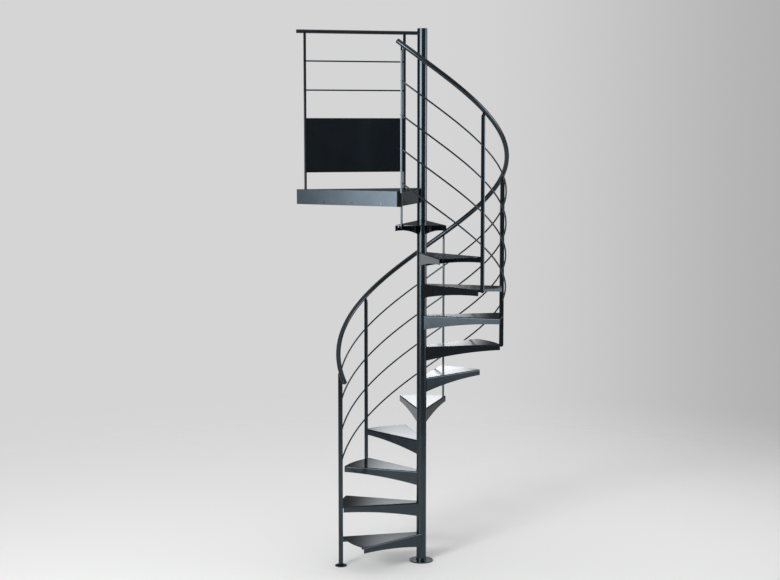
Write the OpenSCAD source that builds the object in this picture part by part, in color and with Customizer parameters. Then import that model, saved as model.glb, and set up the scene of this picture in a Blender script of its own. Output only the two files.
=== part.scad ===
// Steel spiral staircase: a centre column carries eleven folded treads and a
// corner landing. Flat-bar posts on the outer edge hold a helical handrail and
// four helical rods. The origin is on the floor, on the axis of the column.
// The landing's front fascia faces -Y. The stair climbs clockwise, seen from above.

/* [Stair] */
// Number of treads below the landing
tread_count = 11; // [3:1:11]
// Height of the first tread above the floor
first_rise = 203; // [160:1:240]
// Height from one tread to the next
riser = 220; // [190:1:240]
// Turn from one tread to the next, in degrees
tread_turn = 30; // [26:1:30]
// Direction of the first tread's centre line, in degrees
first_tread_angle = 236; // [200:1:270]

/* [Column] */
// Outer diameter of the column tube
column_d = 68; // [60:1:90]
// Wall of the column tube
column_wall = 4; // [2:0.5:6]
// Height of the column's top above the landing
column_above_landing = 1082; // [1000:1:1200]
// Diameter of the base plate
base_d = 165; // [140:1:220]
// Thickness of the base plate
base_t = 8; // [5:1:15]
// Circle of the anchor holes in the base plate
anchor_pcd = 126; // [110:1:180]
// Diameter of the anchor holes
anchor_hole_d = 11; // [8:0.5:14]

/* [Treads] */
// Radius of the outer edge of the treads
tread_r = 561; // [500:1:620]
// Thickness of the folded sheet
sheet_t = 4; // [3:0.5:5]
// Outer radius of the bends
bend_r = 8; // [6:0.5:12]
// Angle between a side edge and the tread's centre line, in degrees
edge_angle = 14.8; // [13:0.1:16]
// Half width of the tread on the column axis
root_half = 27; // [22:1:29]
// Depth of the side flanges at the column
flange_root = 100; // [80:1:120]
// Depth of the side flanges at the outer edge
flange_tip = 40; // [30:1:60]
// Length of the lugs under a tread's corners, along the radius
lug_l = 24; // [15:1:40]

/* [Posts] */
// Width of the flat bars, along the radius
post_w = 30; // [24:1:40]
// Thickness of the flat bars
post_t = 8; // [6:1:12]
// Angle from a tread's centre line to its post, in degrees
post_turn = 15; // [13:0.5:15]
// Angle from the top tread's centre line to the last post, in degrees
last_post_turn = 12.5; // [11:0.5:13]
// How far a post's foot reaches below the top of its tread
post_drop = 20; // [16:1:30]
// Diameter of the newel's foot plate
newel_foot_d = 82; // [70:1:110]
// Thickness of the newel's foot plate
newel_foot_t = 6; // [4:1:10]

/* [Handrail and rods] */
// Outer diameter of the handrail tube
handrail_d = 32; // [28:1:42]
// Wall of the handrail tube
handrail_wall = 2; // [1.5:0.5:4]
// Height of the handrail's axis above a tread, on the tread's centre line
handrail_h = 1078; // [950:1:1150]
// How far outside the posts' middle the handrail runs
handrail_past_posts = 2; // [0:1:8]
// How far the handrail runs past the newel, in degrees
handrail_start_turn = 11; // [6:0.5:14]
// How far the handrail runs past the last post, in degrees
handrail_end_turn = 2.5; // [1.5:0.5:5]
// Diameter of the rods
rod_d = 11; // [8:1:14]
// Height of the lowest rod above a tread, on the tread's centre line
rod_low_h = 185; // [150:1:220]
// Vertical distance from one rod to the next
rod_gap = 219; // [180:1:230]

/* [Landing] */
// How far the front fascia's face lies outside the treads' outer edge
landing_past_treads = 11; // [8:1:24]
// Distance from the column axis to the landing's left corner, along the fascia
landing_left = 656; // [600:1:750]
// Depth of the landing's flanges and fascia
landing_depth = 100; // [80:1:130]
// Length of the corner bracket's leg along the entry flange
bracket_leg = 46; // [30:1:80]
// Drop of the corner bracket's slanting upper edge
bracket_slant = 12; // [0:1:20]
// Diameter of the fixing holes in the fascia
fixing_hole_d = 9; // [6:0.5:12]
// Distance from one fixing hole to the next
fixing_gap = 215; // [180:1:240]
// Distance from the fascia's lower edge to the fixing holes
fixing_edge = 18; // [14:1:30]
// Distance from the fascia's right end to the first fixing hole
fixing_end = 125; // [80:1:160]

/* [Landing railing] */
// Height of the top rail's axis above the landing
top_rail_h = 1050; // [950:1:1100]
// Outer diameter of the top rail
top_rail_d = 25; // [22:1:34]
// Wall of the top rail
top_rail_wall = 2; // [1.5:0.5:4]
// Diameter of the two landing rods
landing_rod_d = 10; // [8:1:12]
// Height of the lower landing rod above the landing
lower_rod_h = 662; // [600:1:700]
// Height of the upper landing rod above the landing
upper_rod_h = 855; // [780:1:900]
// Thickness of the landing's posts
landing_post_t = 12; // [8:1:16]
// Distance from the left corner to the left post
left_post_at = 57; // [30:1:120]
// Distance from the column axis to the right post
right_post_at = 123; // [80:1:200]
// Height of the panel's lower edge above the landing
panel_low = 112; // [60:1:200]
// Height of the panel's upper edge above the landing
panel_top = 476; // [400:1:560]
// Thickness of the panel
panel_t = 4; // [3:0.5:8]

/* [Hidden] */

$fn = 96;
seat = 0.3;                     // clearance where a curved piece passes another
rail_seat = 0.5;                // clearance between a saddle and the handrail
cap_seat = 0.1;                 // gap between the handrail's end and its cap
over = 1;                       // overshoot of a cutting shape
chamfer = 1;                    // chamfer on the rims of the round plates
far = 2000;                     // longer than any landing or tread
column_r = column_d / 2;
post_r = tread_r + seat + post_w / 2;
landing_z = first_rise + riser * tread_count;
landing_front = tread_r + landing_past_treads;
column_h = landing_z + column_above_landing;
newel_angle = first_tread_angle - post_turn;
last_post_angle = tread_angle(tread_count) - last_post_turn;
climb = riser / tread_turn * 180 / PI;      // rise of the helix for one radian
handrail_r = post_r + handrail_past_posts;
ring_turn = 6;                  // turn from one ring of a helical tube to the next
rod_end_turn = 0.8;             // turn by which a rod passes its end posts
post_clear = 8;                 // post's top to the handrail's underside
saddle_w = 14;                  // saddle's width, along the radius
tube_sides = 16;                // sides of the handrail's section
rod_sides = 8;                  // sides of a rod's section
handrail_cap_t = 5;             // length of the caps on the handrail's ends
rail_cap_t = 4;                 // length of the cap on the top rail's end
rail_end_at = 5;                // from the landing's left corner to the top rail's end
rail_edge = 2;                  // from the landing's back edge to its posts
rod_proud = 2;                  // how far a landing rod stands out of its posts
root_trim = column_r / 4;       // inner end of a tread's block, inside the column
lug_h = 16;                     // lug's depth below the tread's top
arc_r = pow(tread_r, 2) / (2 * (flange_root - flange_tip));

// Direction of a tread's centre line
function tread_angle(n) = first_tread_angle - tread_turn * (n - 1);

// Height of a tread's top
function tread_z(n) = first_rise + riser * (n - 1);

// Height of the walking line, which passes each tread's top on its centre line
function walk_z(a) = first_rise + riser * (first_tread_angle - a) / tread_turn;

// Direction of a tread's post
function post_angle(n) = n == tread_count ? last_post_angle : tread_angle(n) - post_turn;

// Slope of a helix of radius r
function slope(r) = atan2(climb, r);

// Height of the handrail's axis at a direction
function handrail_z(a) = walk_z(a) + handrail_h;

// Height of the top of a post
function post_top(n) =
    handrail_z(post_angle(n)) - handrail_d / 2 / cos(slope(handrail_r)) - post_clear;

// Directions of a helical tube's rings: both ends, both end posts and steps between
function ring_angles(start, end) = concat(
    [start],
    [for (k = [-ceil((start - newel_angle) / ring_turn) : 1 : 360 / ring_turn])
        let (a = newel_angle - ring_turn * k)
        if (a < start - 0.5 && a > last_post_angle + 0.5) a],
    [last_post_angle, end]
);

// Points of one ring of a helical tube
function ring(a, r, z, tube_r, sides) =
    let (s = slope(r))
    [for (j = [0 : sides - 1])
        let (u = tube_r * cos(360 * j / sides), v = tube_r * sin(360 * j / sides))
        [(r + u) * cos(a) - v * sin(s) * sin(a),
         (r + u) * sin(a) + v * sin(s) * cos(a),
         z + v * cos(s)]];

// Faces between two neighbouring rings, starting at points p and q
function band(p, q, sides) = [for (j = [0 : sides - 1])
    let (k = (j + 1) % sides)
    each [[p + j, q + j, q + k], [p + j, q + k, p + k]]];

// ---------- Helical bars and tubes ----------

// Solid bar along a helix, at a height above the walking line
module helical_bar(start, end, r, h, d, sides) {
    angles = ring_angles(start, end);
    last = len(angles) - 1;
    points = [for (a = angles) each ring(a, r, walk_z(a) + h, d / 2, sides)];
    faces = concat(
        [[for (j = [0 : sides - 1]) j]],
        [for (i = [0 : last - 1]) each band(i * sides, (i + 1) * sides, sides)],
        [[for (j = [sides - 1 : -1 : 0]) last * sides + j]]
    );
    polyhedron(points, faces);
}

// Hollow tube along a helix, at a height above the walking line
module helical_tube(start, end, r, h, d, wall, sides) {
    angles = ring_angles(start, end);
    count = len(angles);
    last = count - 1;
    inner = count * sides;
    points = concat(
        [for (a = angles) each ring(a, r, walk_z(a) + h, d / 2, sides)],
        [for (a = angles) each ring(a, r, walk_z(a) + h, d / 2 - wall, sides)]
    );
    faces = concat(
        [for (i = [0 : last - 1]) each band(i * sides, (i + 1) * sides, sides)],
        [for (i = [0 : last - 1]) each band(inner + (i + 1) * sides, inner + i * sides, sides)],
        band(inner, 0, sides),
        band(last * sides, inner + last * sides, sides)
    );
    polyhedron(points, faces);
}

// Places children on a helix, with +Z along the rising tangent and +X outwards
module on_helix(a, r, h) {
    rotate([0, 0, a])
        translate([r, 0, walk_z(a) + h])
            rotate([90 - slope(r), 0, 0])
                children();
}

// ---------- Folded sheet ----------

// Section with a rounded upper corner at the origin, reaching along -X and -Y
module rounded_corner(w, d, r) {
    translate([-w, -d])
        square([w - r, d]);
    translate([-r - over, -d])
        square([r + over, d - r]);
    translate([-r, -r])
        circle(r);
}

// Block below z = 0 on the right of a straight edge that runs along +X through [0, y]
module edge_block(y, d, inset) {
    translate([-far, y - inset, -inset])
        rotate([90, 0, 90])
            linear_extrude(2 * far)
                rounded_corner(far, d, bend_r - inset);
}

// Tread's block between its two side edges, with rounded upper edges
module tread_wedge(inset) {
    intersection() {
        rotate([0, 0, edge_angle])
            edge_block(root_half * cos(edge_angle), 2 * flange_root, inset);
        mirror([0, 1, 0])
            rotate([0, 0, edge_angle])
                edge_block(root_half * cos(edge_angle), 2 * flange_root, inset);
        translate([root_trim, -tread_r, -flange_root - over])
            cube([far, 2 * tread_r, flange_root + 2 * over]);
    }
}

// Folded sheet of a tread, open at its outer end
module tread_sheet() {
    difference() {
        intersection() {
            tread_wedge(0);
            translate([0, 0, -flange_root])
                cylinder(r = tread_r, h = flange_root + over);
        }
        tread_wedge(sheet_t);
        translate([0, 0, -2 * flange_root])
            cylinder(r = column_r, h = 3 * flange_root);
        translate([tread_r, 0, -flange_tip - arc_r])
            rotate([90, 0, 0])
                cylinder(r = arc_r, h = 2 * tread_r, center = true, $fn = 360);
    }
}

// Lugs under both outer corners, each behind the place of a post
module tread_lugs() {
    for (side = [-1, 1])
        rotate([0, 0, side * tread_turn / 2])
            translate([tread_r - lug_l - over, -post_t / 2, -lug_h])
                cube([lug_l, post_t, lug_h - sheet_t / 2]);
}

module tread(n) {
    color("#3c454c")
        rotate([0, 0, tread_angle(n)])
            translate([0, 0, tread_z(n)]) {
                tread_sheet();
                tread_lugs();
            }
}

// ---------- Column ----------

module column_tube() {
    color("#3c454c")
        difference() {
            translate([0, 0, base_t])
                cylinder(d = column_d, h = column_h - base_t - sheet_t);
            translate([0, 0, base_t - over])
                cylinder(d = column_d - 2 * column_wall, h = column_h);
        }
}

// Disc with its upper edge chamfered
module plate_disc(r, t) {
    rotate_extrude()
        polygon([[0, 0], [r, 0], [r, t - chamfer], [r - chamfer, t], [0, t]]);
}

module column_cap() {
    color("#3c454c")
        translate([0, 0, column_h - sheet_t])
            plate_disc(column_r, sheet_t);
}

module column_base_plate() {
    color("#3c454c")
        difference() {
            plate_disc(base_d / 2, base_t);
            for (k = [0 : 3])
                rotate([0, 0, 45 + 90 * k])
                    translate([anchor_pcd / 2, 0, -over])
                        cylinder(d = anchor_hole_d, h = base_t + 2 * over);
        }
}

// ---------- Posts ----------

// Outline of a flat bar with a full round at its top and, if asked, at its foot
module post_outline(h, round_foot) {
    foot = round_foot ? post_w / 2 : 0;
    translate([-post_w / 2, foot])
        square([post_w, h - post_w / 2 - foot]);
    translate([0, h - post_w / 2])
        circle(d = post_w);
    if (round_foot)
        translate([0, foot])
            circle(d = post_w);
}

// Flat bar of the stair railing, with a slanting hole for each rod
module stair_post(n, bottom, round_foot) {
    a = post_angle(n);
    color("#3c454c")
        difference() {
            rotate([0, 0, a])
                translate([post_r, post_t / 2, bottom])
                    rotate([90, 0, 0])
                        linear_extrude(post_t)
                            post_outline(post_top(n) - bottom, round_foot);
            for (k = [0 : 3])
                on_helix(a, post_r, rod_low_h + rod_gap * k)
                    cylinder(d = rod_d + 2 * seat, h = 6 * post_t, center = true);
        }
}

module newel_post() {
    stair_post(1, newel_foot_t, false);
}

module newel_foot_plate() {
    color("#3c454c")
        rotate([0, 0, newel_angle])
            translate([post_r, 0, 0])
                plate_disc(newel_foot_d / 2, newel_foot_t);
}

// Block between a post's round top and the handrail
module saddle(n) {
    a = post_angle(n);
    color("#22282c")
        difference() {
            rotate([0, 0, a])
                translate([handrail_r - saddle_w / 2, -post_t / 2, post_top(n) - post_w / 4])
                    cube([saddle_w, post_t, handrail_z(a) - post_top(n) + post_w / 4]);
            rotate([0, 0, a])
                translate([post_r, 0, post_top(n) - post_w / 2])
                    rotate([90, 0, 0])
                        cylinder(d = post_w, h = 4 * post_t, center = true);
            on_helix(a, handrail_r, handrail_h)
                cylinder(d = handrail_d + 2 * rail_seat, h = 4 * handrail_d, center = true);
        }
}

// ---------- Handrail and rods ----------

handrail_start = newel_angle + handrail_start_turn;
handrail_end = last_post_angle - handrail_end_turn;

module handrail() {
    color("#3c454c")
        helical_tube(handrail_start, handrail_end, handrail_r, handrail_h, handrail_d, handrail_wall,
                     tube_sides);
}

// Round plug that closes an end of a tube, with its face towards +Z
module plug(d, t) {
    rotate_extrude()
        polygon([[0, 0], [d / 2, 0], [d / 2, t / 2], [d / 2 - t / 2, t], [0, t]]);
}

module handrail_cap_lower() {
    color("#22282c")
        on_helix(handrail_start, handrail_r, handrail_h)
            mirror([0, 0, 1])
                translate([0, 0, cap_seat])
                    plug(handrail_d, handrail_cap_t);
}

module handrail_cap_upper() {
    color("#22282c")
        on_helix(handrail_end, handrail_r, handrail_h)
            translate([0, 0, cap_seat])
                plug(handrail_d, handrail_cap_t);
}

module mid_rail(k) {
    color("#3c454c")
        helical_bar(newel_angle + rod_end_turn, last_post_angle - rod_end_turn, post_r,
                    rod_low_h + rod_gap * (k - 1), rod_d, rod_sides);
}

// ---------- Landing ----------

entry_angle = tread_angle(tread_count) - tread_turn / 2;
right_corner = [landing_front / tan(-entry_angle), -landing_front];
left_corner = [-landing_left, -landing_front];
left_reach = norm(left_corner);
back_set = column_r - 5;        // distance from the column axis to the back edge
back_angle = atan2(landing_front, landing_left) + asin(back_set / left_reach);
back_length = sqrt(left_reach * left_reach - back_set * back_set);

// Plan of the landing, with its tip on the column axis
module landing_plan() {
    back_point = back_set * [-sin(back_angle), cos(back_angle)];
    polygon([[0, 0], right_corner, left_corner, back_point]);
}

// Landing's block, limited by the entry edge and the back edge
module landing_block(inset) {
    intersection() {
        rotate([0, 0, entry_angle + 180])
            mirror([0, 1, 0])
                edge_block(0, 2 * landing_depth, inset);
        translate(left_corner)
            rotate([0, 0, back_angle])
                edge_block(0, 2 * landing_depth, inset);
    }
}

module landing_deck() {
    color("#3c454c")
        translate([0, 0, landing_z])
            difference() {
                intersection() {
                    landing_block(0);
                    translate([0, 0, -landing_depth])
                        linear_extrude(landing_depth + over)
                            landing_plan();
                }
                landing_block(sheet_t);
                translate([-far, -landing_front - far, -2 * landing_depth])
                    cube([2 * far, far + sheet_t, 3 * landing_depth]);
                translate([0, 0, -2 * landing_depth])
                    cylinder(r = column_r, h = 3 * landing_depth);
            }
}

module landing_front_fascia() {
    color("#6f7c85")
        translate([0, 0, landing_z])
            difference() {
                intersection() {
                    translate([-far, -landing_front, -landing_depth])
                        cube([2 * far, sheet_t, landing_depth]);
                    translate([0, 0, -landing_depth - over])
                        linear_extrude(landing_depth + 2 * over)
                            landing_plan();
                }
                for (k = [0 : 2])
                    translate([right_corner[0] - fixing_end - fixing_gap * k,
                               -landing_front, fixing_edge - landing_depth])
                        rotate([90, 0, 0])
                            cylinder(d = fixing_hole_d, h = 4 * sheet_t, center = true);
            }
}

// Angle piece that ties the last post to the landing's right corner
module landing_corner_bracket() {
    turn = last_post_angle - entry_angle;
    face_x = (post_r + post_w / 2) * cos(turn) + post_t / 2 * sin(turn) + seat;
    reach = (post_r + post_w / 2) * sin(turn) + post_t / 2 + over;
    color("#15191c")
        rotate([0, 0, entry_angle])
            translate([0, 0, landing_z]) {
                translate([face_x - bracket_leg, 0, -landing_depth])
                    cube([bracket_leg + sheet_t, sheet_t, landing_depth]);
                translate([face_x, 0, 0])
                    rotate([90, 0, 90])
                        linear_extrude(sheet_t)
                            polygon([[0, -landing_depth], [reach, -landing_depth],
                                     [reach, -bracket_slant], [0, 0]]);
            }
}

// ---------- Landing railing ----------

rail_line = -post_w / 2 - rail_edge;    // railing's middle plane, inside the back edge
right_post_s = back_length - right_post_at;
rod_past_post = landing_post_t / 2 + rod_proud; // from a post's middle to a landing rod's end

// Railing's own frame: +X along the back edge from the left corner, z = 0 on the deck
module on_back_edge() {
    translate([left_corner[0], left_corner[1], landing_z])
        rotate([0, 0, back_angle])
            translate([0, rail_line, 0])
                children();
}

module landing_post(s) {
    color("#3c454c")
        on_back_edge()
            difference() {
                translate([s - landing_post_t / 2, -post_w / 2, 0])
                    cube([landing_post_t, post_w, top_rail_h - top_rail_d / 2]);
                for (h = [lower_rod_h, upper_rod_h])
                    translate([s, 0, h])
                        rotate([0, 90, 0])
                            cylinder(d = landing_rod_d + 2 * seat, h = 4 * landing_post_t, center = true);
                translate([s, 0, top_rail_h])
                    rotate([0, 90, 0])
                        cylinder(d = top_rail_d, h = 4 * landing_post_t, center = true);
            }
}

module landing_post_left() {
    landing_post(left_post_at);
}

module landing_post_right() {
    landing_post(right_post_s);
}

module landing_top_rail() {
    color("#3c454c")
        difference() {
            on_back_edge()
                translate([rail_end_at, 0, top_rail_h])
                    rotate([0, 90, 0])
                        difference() {
                            cylinder(d = top_rail_d, h = back_length);
                            translate([0, 0, -over])
                                cylinder(d = top_rail_d - 2 * top_rail_wall, h = back_length + 2 * over);
                        }
            cylinder(r = column_r, h = column_h);
            on_back_edge()
                translate([back_length, -far / 2, 0])
                    cube([far, far, column_h]);
        }
}

module landing_rail_cap() {
    color("#22282c")
        on_back_edge()
            translate([rail_end_at, 0, top_rail_h])
                rotate([0, -90, 0])
                    plug(top_rail_d, rail_cap_t);
}

module landing_rod(h) {
    color("#3c454c")
        on_back_edge()
            translate([left_post_at - rod_past_post, 0, h])
                rotate([0, 90, 0])
                    cylinder(d = landing_rod_d, h = right_post_s - left_post_at + 2 * rod_past_post);
}

module landing_rod_lower() {
    landing_rod(lower_rod_h);
}

module landing_rod_upper() {
    landing_rod(upper_rod_h);
}

module landing_panel() {
    color("#14181b")
        on_back_edge()
            translate([left_post_at + landing_post_t / 2, -panel_t / 2, panel_low])
                cube([right_post_s - left_post_at - landing_post_t, panel_t, panel_top - panel_low]);
}

// ---------- Nodes ----------

column_tube();
column_cap();
column_base_plate();
tread(1);  // tread_01
tread(2);  // tread_02
tread(3);  // tread_03
tread(4);  // tread_04
tread(5);  // tread_05
tread(6);  // tread_06
tread(7);  // tread_07
tread(8);  // tread_08
tread(9);  // tread_09
tread(10);  // tread_10
tread(11);  // tread_11
newel_foot_plate();
newel_post();
stair_post(3, tread_z(3) - post_drop, true);  // post_03
stair_post(5, tread_z(5) - post_drop, true);  // post_05
stair_post(7, tread_z(7) - post_drop, true);  // post_07
stair_post(9, tread_z(9) - post_drop, true);  // post_09
stair_post(11, tread_z(11) - post_drop, true);  // post_11
saddle(1);  // saddle_01
saddle(3);  // saddle_03
saddle(5);  // saddle_05
saddle(7);  // saddle_07
saddle(9);  // saddle_09
saddle(11);  // saddle_11
handrail();
handrail_cap_lower();
handrail_cap_upper();
mid_rail(1);  // mid_rail_1
mid_rail(2);  // mid_rail_2
mid_rail(3);  // mid_rail_3
mid_rail(4);  // mid_rail_4
landing_deck();
landing_front_fascia();
landing_corner_bracket();
landing_post_left();
landing_post_right();
landing_top_rail();
landing_rail_cap();
landing_rod_lower();
landing_rod_upper();
landing_panel();
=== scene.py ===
"""Looks for the spiral staircase: pearl anthracite coat on the steel, smooth handrail
and rods, weld seams, a plain studio floor, lights and the camera. Sizes in metres."""
import math

import bmesh
import bpy
from mathutils import Matrix, Vector


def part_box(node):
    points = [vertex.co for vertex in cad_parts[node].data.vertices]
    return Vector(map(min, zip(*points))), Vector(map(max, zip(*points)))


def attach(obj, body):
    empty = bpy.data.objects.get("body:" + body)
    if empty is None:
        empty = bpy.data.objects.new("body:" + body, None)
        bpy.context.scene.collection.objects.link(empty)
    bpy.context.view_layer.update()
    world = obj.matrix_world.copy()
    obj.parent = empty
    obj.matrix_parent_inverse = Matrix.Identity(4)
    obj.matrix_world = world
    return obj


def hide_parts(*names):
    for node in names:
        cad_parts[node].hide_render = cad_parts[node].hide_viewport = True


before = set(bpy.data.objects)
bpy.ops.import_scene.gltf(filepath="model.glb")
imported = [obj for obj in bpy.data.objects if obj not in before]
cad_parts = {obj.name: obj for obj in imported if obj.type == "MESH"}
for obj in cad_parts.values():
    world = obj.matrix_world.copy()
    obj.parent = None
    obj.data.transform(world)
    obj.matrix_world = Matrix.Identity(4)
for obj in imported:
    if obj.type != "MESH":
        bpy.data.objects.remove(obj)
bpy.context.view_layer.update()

BODY = "root"
CREASE = 40                     # a piece stays crisp where it turns by more degrees than this

# ---------- Sizes of the stair ----------
# A turn is a direction round the column's axis, in degrees from the x axis

TREADS = [f"tread_{n:02d}" for n in range(1, 12)]
FIRST_TREAD_TURN = 236
TREAD_TURN = 30
EDGE_TURN = 14.8                # slant of a tread's side edge to its centre line
ROOT_HALF = 0.027               # half the distance between the side edges, at the axis
BEND = 0.008                    # radius of the folds
FLANGE_ROOT = 0.100             # depth of a tread's side flange at the column
BAR_WIDTH = 0.030
BAR_THICK = 0.008
POST_RADIUS = 0.5763
NEWEL_TURN = 221

HANDRAIL_RADIUS = 0.5783
HANDRAIL_HEIGHT = 1.078
HANDRAIL_SECTION = 0.0317 / 2
HANDRAIL_TURNS = (232, -79)
ROD_HEIGHTS = [0.185, 0.404, 0.623, 0.842]
ROD_SECTION = 0.011 / 2
ROD_TURNS = (221.8, -77.3)

BACK_TURN = 43.0                # direction that the landing's back edge and railing run in
DECK_TURNS = (184.9, 267.4)     # where the deck meets the column
FLANGE_TURNS = (-79.0, 164.5)   # where the entry and back flanges meet it
LANDING_POSTS = ((-0.60272, -0.54556), (-0.09815, -0.07510))
LANDING_POST_THICK = 0.012

FIRST_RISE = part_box("tread_01")[1].z
RISER = (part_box("tread_11")[1].z - FIRST_RISE) / (len(TREADS) - 1)
COLUMN_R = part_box("column_tube")[1].x
BASE_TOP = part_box("column_base_plate")[1].z
LANDING_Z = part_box("landing_deck")[1].z


def walking_height(turn):
    """Height of the walking line, which passes each tread's top on its centre line"""
    return FIRST_RISE + RISER * (FIRST_TREAD_TURN - turn) / TREAD_TURN


def around(radius, turn, height):
    """Point at a distance from the column's axis, in a direction, at a height"""
    turn = math.radians(turn)
    return Vector((radius * math.cos(turn), radius * math.sin(turn), height))


# ---------- Materials ----------

class Tone:
    """One output of a shader node. Sums, products and powers of it add Math nodes."""

    def __init__(self, finish, output):
        self.finish = finish
        self.output = output

    def maths(self, operation, first, second):
        return self.finish.node("ShaderNodeMath", {"operation": operation}, {0: first, 1: second})

    def __add__(self, other):
        return self.maths("ADD", self, other)

    def __radd__(self, other):
        return self.maths("ADD", other, self)

    def __sub__(self, other):
        return self.maths("SUBTRACT", self, other)

    def __rsub__(self, other):
        return self.maths("SUBTRACT", other, self)

    def __mul__(self, other):
        return self.maths("MULTIPLY", self, other)

    def __rmul__(self, other):
        return self.maths("MULTIPLY", other, self)

    def __truediv__(self, other):
        return self.maths("DIVIDE", self, other)

    def __pow__(self, other):
        return self.maths("POWER", self, other)


class Finish:
    """A material or world whose nodes are made one by one"""

    def __init__(self, owner):
        self.owner = owner
        owner.use_nodes = True
        self.tree = owner.node_tree
        self.tree.nodes.clear()

    def node(self, kind, settings=None, inputs=None, output=0):
        made = self.tree.nodes.new(kind)
        for name, value in (settings or {}).items():
            setattr(made, name, value)
        for name, value in (inputs or {}).items():
            if isinstance(value, Tone):
                self.tree.links.new(value.output, made.inputs[name])
            else:
                made.inputs[name].default_value = value
        return Tone(self, made.outputs[output])

    def place(self):
        return self.node("ShaderNodeTexCoord", output="Object")

    def noise(self, scale, detail=2.0, roughness=0.5, stretch=(1, 1, 1)):
        moved = self.node("ShaderNodeMapping", inputs={"Vector": self.place(), "Scale": stretch})
        return self.node("ShaderNodeTexNoise", inputs={
            "Vector": moved, "Scale": scale, "Detail": detail, "Roughness": roughness})

    def between(self, tone, low, high):
        """Smooth step from 0 to 1 as a tone goes from low to high"""
        return self.node("ShaderNodeMapRange", {"interpolation_type": "SMOOTHSTEP"}, {
            "Value": tone, "From Min": low, "From Max": high})

    def blend(self, factor, first, second):
        """Colour between two colours"""
        return self.node("ShaderNodeMix", {"data_type": "RGBA"}, {0: factor, 6: first, 7: second},
                         output=2)

    def finish(self, shader, kind="ShaderNodeOutputMaterial"):
        out = self.tree.nodes.new(kind)
        self.tree.links.new(shader.output, out.inputs["Surface"])
        return self.owner


def rgba(tint, by=1):
    """Colour for a socket, from a tint made darker or lighter"""
    return (*[by * c for c in tint], 1.0)


ANTHRACITE = (0.088, 0.113, 0.134)
DEEP_ANTHRACITE = (0.060, 0.080, 0.096)
# Near-black for the landing's corner bracket: painted shade, standing in for the dark at that
# corner
PAINTED_SHADE_BLACK = (0.004, 0.005, 0.006)
MOULDED_BLACK = (0.016, 0.018, 0.020)
DUST = (0.16, 0.16, 0.16)
PEARL = 0.96                    # share of metal flake in the pearl coats
GRAIN_DEPTH = 0.00004
MOULD_DEPTH = 0.0003


def coated_steel(name, tint, metallic, roughness, grain, dust, shine=0.5):
    """Powder coat with fine grain, faint cloudiness and a trace of dust on level faces"""
    f = Finish(bpy.data.materials.new(name))
    cloud = f.noise(scale=7.0, detail=3.0, roughness=0.6)
    speck = f.noise(scale=900.0, detail=2.0, roughness=0.6)
    level = f.node("ShaderNodeSeparateXYZ", inputs={
        "Vector": f.node("ShaderNodeTexCoord", output="Normal")}, output=2)
    patches = f.between(f.noise(scale=26.0, detail=4.0, roughness=0.65), 0.35, 0.75)
    settled = f.between(level, 0.80, 1.0) * patches * dust
    shade = f.blend(f.between(cloud, 0.3, 0.7), rgba(tint, 0.93), rgba(tint, 1.07))
    shade = f.blend(f.between(speck, 0.55, 0.75) * 0.35, shade, rgba(tint, 1.5))
    shade = f.blend(settled, shade, rgba(DUST))
    rough = roughness + 0.05 * (cloud - 0.5) + 0.10 * settled
    orange_peel = f.noise(scale=330.0, detail=1.0, roughness=0.4)
    bump = f.node("ShaderNodeBump", inputs={
        "Strength": grain, "Distance": GRAIN_DEPTH, "Height": speck * 0.5 + orange_peel})
    return f.finish(f.node("ShaderNodeBsdfPrincipled", inputs={
        "Base Color": shade, "Metallic": metallic, "Roughness": rough, "Specular IOR Level": shine,
        "Normal": bump}))


def moulded_cap(name, tint):
    """Black moulded plastic with a faint flow pattern"""
    f = Finish(bpy.data.materials.new(name))
    flow = f.noise(scale=60.0, stretch=(1, 1, 0.3))
    grain = f.noise(scale=1400.0, roughness=0.7)
    shade = f.blend(flow, rgba(tint, 0.85), rgba(tint, 1.2))
    bump = f.node("ShaderNodeBump", inputs={
        "Strength": 0.2, "Distance": MOULD_DEPTH, "Height": grain})
    return f.finish(f.node("ShaderNodeBsdfPrincipled", inputs={
        "Base Color": shade, "Roughness": 0.42 + 0.1 * (grain - 0.5), "Normal": bump}))


COATS = {
    "column_paint": coated_steel("column pearl coat", ANTHRACITE, PEARL,
                                 roughness=0.19, grain=0.03, dust=0.05),
    "tread_paint": coated_steel("tread fine grain coat", ANTHRACITE, PEARL,
                                roughness=0.165, grain=0.10, dust=0.08),
    "railing_paint": coated_steel("railing pearl coat", ANTHRACITE, PEARL,
                                  roughness=0.22, grain=0.03, dust=0.05),
    "panel_paint": coated_steel("panel pearl coat", DEEP_ANTHRACITE, PEARL,
                                roughness=0.24, grain=0.05, dust=0.05),
    # Corner bracket: its dark coat taken down to near-black with almost no shine, as painted shade
    # for the dark corner of the landing
    "bracket_paint": coated_steel("bracket satin black with painted shade", PAINTED_SHADE_BLACK, metallic=0.0,
                                  roughness=0.6, grain=0.3, dust=0.0, shine=0.06),
    "end_cap_plastic": moulded_cap("cap black plastic", MOULDED_BLACK),
}

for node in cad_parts.values():
    for k, old in enumerate(node.data.materials):
        node.data.materials[k] = COATS[old.name.split(".")[0]]


# ---------- Pieces ----------

def piece(name, bm, slot, stands_for=()):
    """A finished piece: smooth where it curves, crisp where it turns, riding on the stair"""
    mesh = bpy.data.meshes.new(name)
    bm.normal_update()
    for face in bm.faces:
        face.smooth = True
    for edge in bm.edges:
        edge.smooth = len(edge.link_faces) != 2 or edge.calc_face_angle() < math.radians(CREASE)
    bm.to_mesh(mesh)
    bm.free()
    made = bpy.data.objects.new(name, mesh)
    bpy.context.scene.collection.objects.link(made)
    mesh.materials.append(COATS[slot])
    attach(made, BODY)
    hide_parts(*stands_for)
    return made


END_EASE = 0.0022               # rounding at the ends of the handrail and the rods


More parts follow.
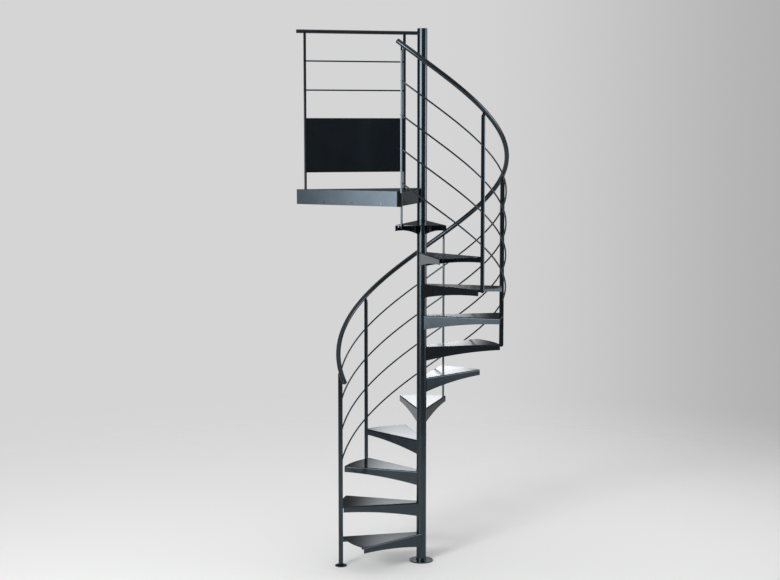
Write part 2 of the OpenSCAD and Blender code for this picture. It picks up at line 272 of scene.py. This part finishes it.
def helix(bm, turns, radius, height, section, sides, step):
    """Round bar or tube that climbs with the walking line, with eased ends"""
    start, end = turns
    count = round((start - end) / step)
    climb = RISER / math.radians(TREAD_TURN)
    slope = math.atan2(climb, radius)
    ring = bmesh.ops.create_circle(bm, cap_ends=True, radius=section, segments=sides)["verts"]
    seat = (Matrix.Rotation(math.radians(start), 4, "Z")
            @ Matrix.Translation((radius, 0, walking_height(start) + height))
            @ Matrix.Rotation(math.pi / 2 - slope, 4, "X"))
    bmesh.ops.transform(bm, matrix=seat, verts=ring)
    first = ring[0].link_faces[0]
    bmesh.ops.spin(bm, geom=[first] + list(first.edges) + ring, cent=(0, 0, 0), axis=(0, 0, 1),
                   dvec=(0, 0, RISER * (start - end) / TREAD_TURN / count),
                   angle=-math.radians(start - end), steps=count, use_merge=False,
                   use_duplicate=False)
    bmesh.ops.recalc_face_normals(bm, faces=bm.faces)
    rims = [e for e in bm.edges if any(len(f.verts) == sides for f in e.link_faces)]
    bmesh.ops.bevel(bm, geom=rims, offset=END_EASE, offset_type="OFFSET", segments=3,
                    profile=0.5, affect="EDGES", material=-1)


bm = bmesh.new()
helix(bm, HANDRAIL_TURNS, HANDRAIL_RADIUS, HANDRAIL_HEIGHT, HANDRAIL_SECTION,
      sides=24, step=2)
piece("handrail_tube", bm, "railing_paint", ["handrail"])

for k, height in enumerate(ROD_HEIGHTS, 1):
    bm = bmesh.new()
    helix(bm, ROD_TURNS, POST_RADIUS, height, ROD_SECTION, sides=14, step=2.5)
    piece(f"rod_{k}", bm, "railing_paint", [f"mid_rail_{k}"])


# ---------- Weld seams ----------

PITCH = 0.0026                  # from one ripple of a seam to the next
RIPPLE = 0.10                   # share by which the ripples swell and shrink
SEAM = 0.0022                   # radius of the seams on folded sheet
BAR_SEAM = 0.0018               # radius of the seams round bars and the top rail
BASE_SEAM = 0.003               # radius of the seam round the column's foot
FLANGE_GAP = 0.002              # bare length below a tread flange's seam
RAIL_STEP = 12                  # degrees from point to point round the top rail's seam


def bead(bm, path, size, closed=False):
    """Rippled weld seam along a path: a small ring pushed from point to point"""
    def seat(k):
        before = path[(k - 1) % len(path)] if closed or k else path[0]
        after = path[(k + 1) % len(path)] if closed or k < len(path) - 1 else path[-1]
        turn = (after - before).to_track_quat("Z", "Y").to_matrix().to_4x4()
        ripple = size * (1.0 + RIPPLE * (-1) ** k)
        return Matrix.Translation(path[k]) @ turn @ Matrix.Scale(ripple, 4)

    ring = bmesh.ops.create_circle(bm, cap_ends=not closed, radius=1, segments=6)["verts"]
    bmesh.ops.transform(bm, matrix=seat(0), verts=ring)
    edges = list({e for v in ring for e in v.link_edges})
    for k in range(1, len(path)):
        grown = bmesh.ops.extrude_edge_only(bm, edges=edges)["geom"]
        ring = [g for g in grown if isinstance(g, bmesh.types.BMVert)]
        edges = [g for g in grown if isinstance(g, bmesh.types.BMEdge)
                 and g.verts[0] in ring and g.verts[1] in ring]
        bmesh.ops.transform(bm, matrix=seat(k) @ seat(k - 1).inverted(), verts=ring)
    if not closed:
        bmesh.ops.contextual_create(bm, geom=edges)


def arc(radius, height, start, end, pitch):
    """Points of an arc round the column's axis"""
    count = max(2, round(abs(end - start) * math.radians(1) * radius / pitch))
    return [around(radius, start + (end - start) * k / count, height) for k in range(count + 1)]


def line(start, end, pitch):
    """Points of a straight seam"""
    count = max(2, round((end - start).length / pitch))
    return [start.lerp(end, k / count) for k in range(count + 1)]


def bar_seam(bm, foot, turn, thick):
    """Seam round the foot of a flat bar whose width runs along a direction"""
    wide, through = around(BAR_WIDTH / 2, turn, 0), around(thick / 2, turn + 90, 0)
    for side in (-1, 1):
        bead(bm, line(foot - wide + through * side, foot + wide + through * side, PITCH), BAR_SEAM)
        bead(bm, line(foot + wide * side - through, foot + wide * side + through, PITCH), BAR_SEAM)


def outward(bm):
    """The same mesh with all its faces pointing out"""
    bmesh.ops.recalc_face_normals(bm, faces=bm.faces)
    return bm


# Where a tread's side edge meets the column
slant = math.tan(math.radians(EDGE_TURN))
spread = 1 + slant ** 2
edge_x = (-ROOT_HALF * slant + math.sqrt(COLUMN_R ** 2 * spread - ROOT_HALF ** 2)) / spread
edge_turn = math.degrees(math.acos(edge_x / COLUMN_R))
reach = edge_turn - math.degrees(BEND / COLUMN_R)

bm = bmesh.new()
for k, tread in enumerate(TREADS):
    turn = FIRST_TREAD_TURN - TREAD_TURN * k
    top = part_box(tread)[1].z
    bead(bm, arc(COLUMN_R, top, turn - reach, turn + reach, PITCH), SEAM)
    for side in (-1, 1):
        foot = around(COLUMN_R, turn + side * edge_turn, top - FLANGE_ROOT + FLANGE_GAP)
        head = around(COLUMN_R, turn + side * edge_turn, top - BEND)
        bead(bm, line(foot, head, PITCH), SEAM)
piece("tread_seams", outward(bm), "tread_paint")

# Column's foot and newel's foot
bm = bmesh.new()
bead(bm, arc(COLUMN_R, BASE_TOP, 0, 360, PITCH)[:-1], BASE_SEAM, closed=True)
foot_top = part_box("newel_foot_plate")[1].z
bar_seam(bm, around(POST_RADIUS, NEWEL_TURN, foot_top), NEWEL_TURN, BAR_THICK)
piece("foot_seams", outward(bm), "column_paint")

# Deck, landing posts and top rail
bm = bmesh.new()
bead(bm, arc(COLUMN_R, LANDING_Z, *DECK_TURNS, PITCH), SEAM)
deck_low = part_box("landing_deck")[0].z
for turn in FLANGE_TURNS:
    foot = around(COLUMN_R, turn, deck_low + SEAM)
    head = around(COLUMN_R, turn, LANDING_Z - BEND)
    bead(bm, line(foot, head, PITCH), SEAM)
for x, y in LANDING_POSTS:
    bar_seam(bm, Vector((x, y, LANDING_Z)), BACK_TURN + 90, LANDING_POST_THICK)
rail_low, rail_high = (corner.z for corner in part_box("landing_top_rail"))
rail_r = (rail_high - rail_low) / 2
beyond = around(1, BACK_TURN + 90, 0).dot(Vector((*LANDING_POSTS[1], 0)))
joint = []
for turn in range(0, 360, RAIL_STEP):
    aside = beyond + rail_r * math.cos(math.radians(turn))
    height = rail_low + rail_r * (1 + math.sin(math.radians(turn)))
    joint.append(around(aside, BACK_TURN + 90, height)
                 - around(math.sqrt(COLUMN_R ** 2 - aside ** 2), BACK_TURN, 0))
bead(bm, joint, BAR_SEAM, closed=True)
piece("landing_seams", outward(bm), "railing_paint")


# ---------- Studio ----------

FLOOR_PAPER = (0.80, 0.80, 0.80)
FLOOR_RADIUS = 14
FLOOR_FADE = (1.5, 7.0)         # from the axis: where the floor starts to fade, and is gone
FLOOR_DIMMING = 0.55            # share of the floor that the steel's gloss leaves out
PANEL_FOOT = 0.05               # no glow panel reaches lower than this
PANEL_REACH = 2                 # a panel's half height, in rises of its glow
PANEL_WIDTH = 1.4               # a panel's half width, in spreads of its glow


def staged(name, bm, finish_name):
    """A studio piece and the finish that it takes"""
    mesh = bpy.data.meshes.new(name)
    bm.to_mesh(mesh)
    bm.free()
    made = bpy.data.objects.new(name, mesh)
    bpy.context.scene.collection.objects.link(made)
    mesh.materials.append(bpy.data.materials.new(finish_name))
    return made, Finish(mesh.materials[0])


def studio_floor():
    """Pale matt floor that fades out into the backdrop, with no horizon"""
    bm = bmesh.new()
    bmesh.ops.create_circle(bm, cap_ends=True, radius=FLOOR_RADIUS, segments=96)
    f = staged("studio_floor", bm, "studio floor paper")[1]
    far = f.node("ShaderNodeVectorMath", {"operation": "LENGTH"}, {0: f.place()}, output="Value")
    paper = f.node("ShaderNodeBsdfPrincipled", inputs={
        "Base Color": rgba(FLOOR_PAPER), "Roughness": 0.8, "Specular IOR Level": 0.2})
    clear = f.node("ShaderNodeBsdfTransparent")
    faded = f.between(far, *FLOOR_FADE)
    dimmed = FLOOR_DIMMING * f.node("ShaderNodeLightPath", output="Is Glossy Ray")
    f.finish(f.node("ShaderNodeMixShader", inputs={
        0: faded + dimmed * (1 - faded), 1: paper, 2: clear}))


def softbox(name, heading, distance, level, rise, spread, strength):
    """Lit panel that glows most at its middle and dims softly to every side. It lights the
    stair and shows in its gloss. The camera doesn't see it, and it casts no shadow"""
    out = around(1, heading, 0)
    side = around(1, heading + 90, 0)
    bm = bmesh.new()
    bmesh.ops.create_grid(bm, x_segments=1, y_segments=1, size=1)
    low, high = max(PANEL_FOOT, level - PANEL_REACH * rise), level + PANEL_REACH * rise
    seat = (Matrix.Translation(out * distance + Vector((0, 0, (low + high) / 2)))
            @ Matrix.Rotation(math.radians(heading - 90), 4, "Z")
            @ Matrix.Rotation(math.pi / 2, 4, "X")
            @ Matrix.Diagonal((PANEL_WIDTH * spread, (high - low) / 2, 1, 1)))
    bmesh.ops.transform(bm, matrix=seat, verts=bm.verts)
    panel, f = staged(name, bm, name + " glow")
    panel.visible_camera = False
    panel.visible_shadow = False
    across = f.node("ShaderNodeVectorMath", {"operation": "DOT_PRODUCT"}, {0: f.place(), 1: side},
                    output="Value") / spread
    across = f.node("ShaderNodeMath", {"operation": "ABSOLUTE"}, {0: across})
    up = (f.node("ShaderNodeSeparateXYZ", inputs={"Vector": f.place()}, output=2) - level) / rise
    glow = f.node("ShaderNodeMath", {"operation": "EXPONENT"}, {0: 0 - up * up - across ** 5})
    f.finish(f.node("ShaderNodeEmission", inputs={"Strength": glow * strength}))


def key_lamp(heading, distance, height, size, power):
    """Lamp behind the key panel that gives the floor its soft shadows and no gloss"""
    lamp = bpy.data.lights.new("key_lamp", "AREA")
    lamp.size = size
    lamp.energy = power
    made = bpy.data.objects.new("key_lamp", lamp)
    made.location = around(distance, heading, height)
    made.rotation_euler = (math.atan2(distance, height), 0, math.radians(heading + 90))
    made.visible_camera = False
    made.visible_glossy = False
    bpy.context.scene.collection.objects.link(made)


studio_floor()
key_lamp(heading=-97, distance=12, height=6.4, size=3.2, power=800)
softbox("key_softbox", heading=-98.5, distance=8, level=3.2, rise=2.0, spread=3.14, strength=5.2)
softbox("side_softbox", heading=31, distance=7, level=3.0, rise=2.0, spread=2.3, strength=3.2)
softbox("back_softbox", heading=117.0, distance=5, level=2.02, rise=0.23, spread=0.56,
        strength=3.9)

# Backdrop: its strength, how much darker its far right is, and the way that it darkens
BACKDROP = 0.665
BACKDROP_SHADE = 0.245
SHADE_TURN = 28
# What the steel's gloss shows: a dark room, lit behind the stair and overhead
ROOM_GLOSS = 0.06
REAR_GLOSS = 0.62
REAR_TURN = 128
CEILING_GLOSS = 0.30
# Strength of the soft light from all round
FILL = 0.74

world = Finish(bpy.data.worlds.new("studio"))
bpy.context.scene.world = world.owner
heading = world.node("ShaderNodeTexCoord", output="Generated")


def towards(turn):
    """How far a ray goes in a direction"""
    return world.node("ShaderNodeVectorMath", {"operation": "DOT_PRODUCT"},
                      {0: heading, 1: around(1, turn, 0)}, output="Value")


backdrop = BACKDROP - BACKDROP_SHADE * world.between(towards(SHADE_TURN), 0.02, 0.30)
rear = world.node("ShaderNodeMapRange", inputs={"Value": towards(REAR_TURN), "From Min": 0.6})
up = world.node("ShaderNodeSeparateXYZ", inputs={"Vector": heading}, output=2)
above_floor = world.between(up, -0.05, 0.05)
in_gloss = ROOM_GLOSS + REAR_GLOSS * rear ** 1.4 * (1 - above_floor) \
    + CEILING_GLOSS * world.between(up, 0.45, 0.85)
seen_by_camera = world.node("ShaderNodeLightPath", output="Is Camera Ray")
seen_in_gloss = world.node("ShaderNodeLightPath", output="Is Glossy Ray")
strength = seen_by_camera * backdrop + (1 - seen_by_camera) * (
    FILL + seen_in_gloss * (in_gloss - FILL))
world.finish(world.node("ShaderNodeBackground", inputs={
    "Strength": strength, "Color": rgba((1, 1, 1))}), "ShaderNodeOutputWorld")

# ---------- Camera ----------

FOCAL_LENGTH = 69.98            # for a sensor 36 wide, both in millimetres
SENSOR_WIDTH = 36
CAMERA_PLACE = (4.714, -9.300, 3.056)
CAMERA_TILT = 6.229             # degrees below the level
CAMERA_HEADING = 28.087

lens = bpy.data.cameras.new("camera")
lens.lens = FOCAL_LENGTH
lens.sensor_width = SENSOR_WIDTH
camera = bpy.data.objects.new("camera", lens)
camera.location = CAMERA_PLACE
camera.rotation_euler = (math.radians(90 - CAMERA_TILT), 0, math.radians(CAMERA_HEADING))
bpy.context.scene.collection.objects.link(camera)
bpy.context.scene.camera = camera
bpy.context.scene.view_settings.view_transform = "Standard"
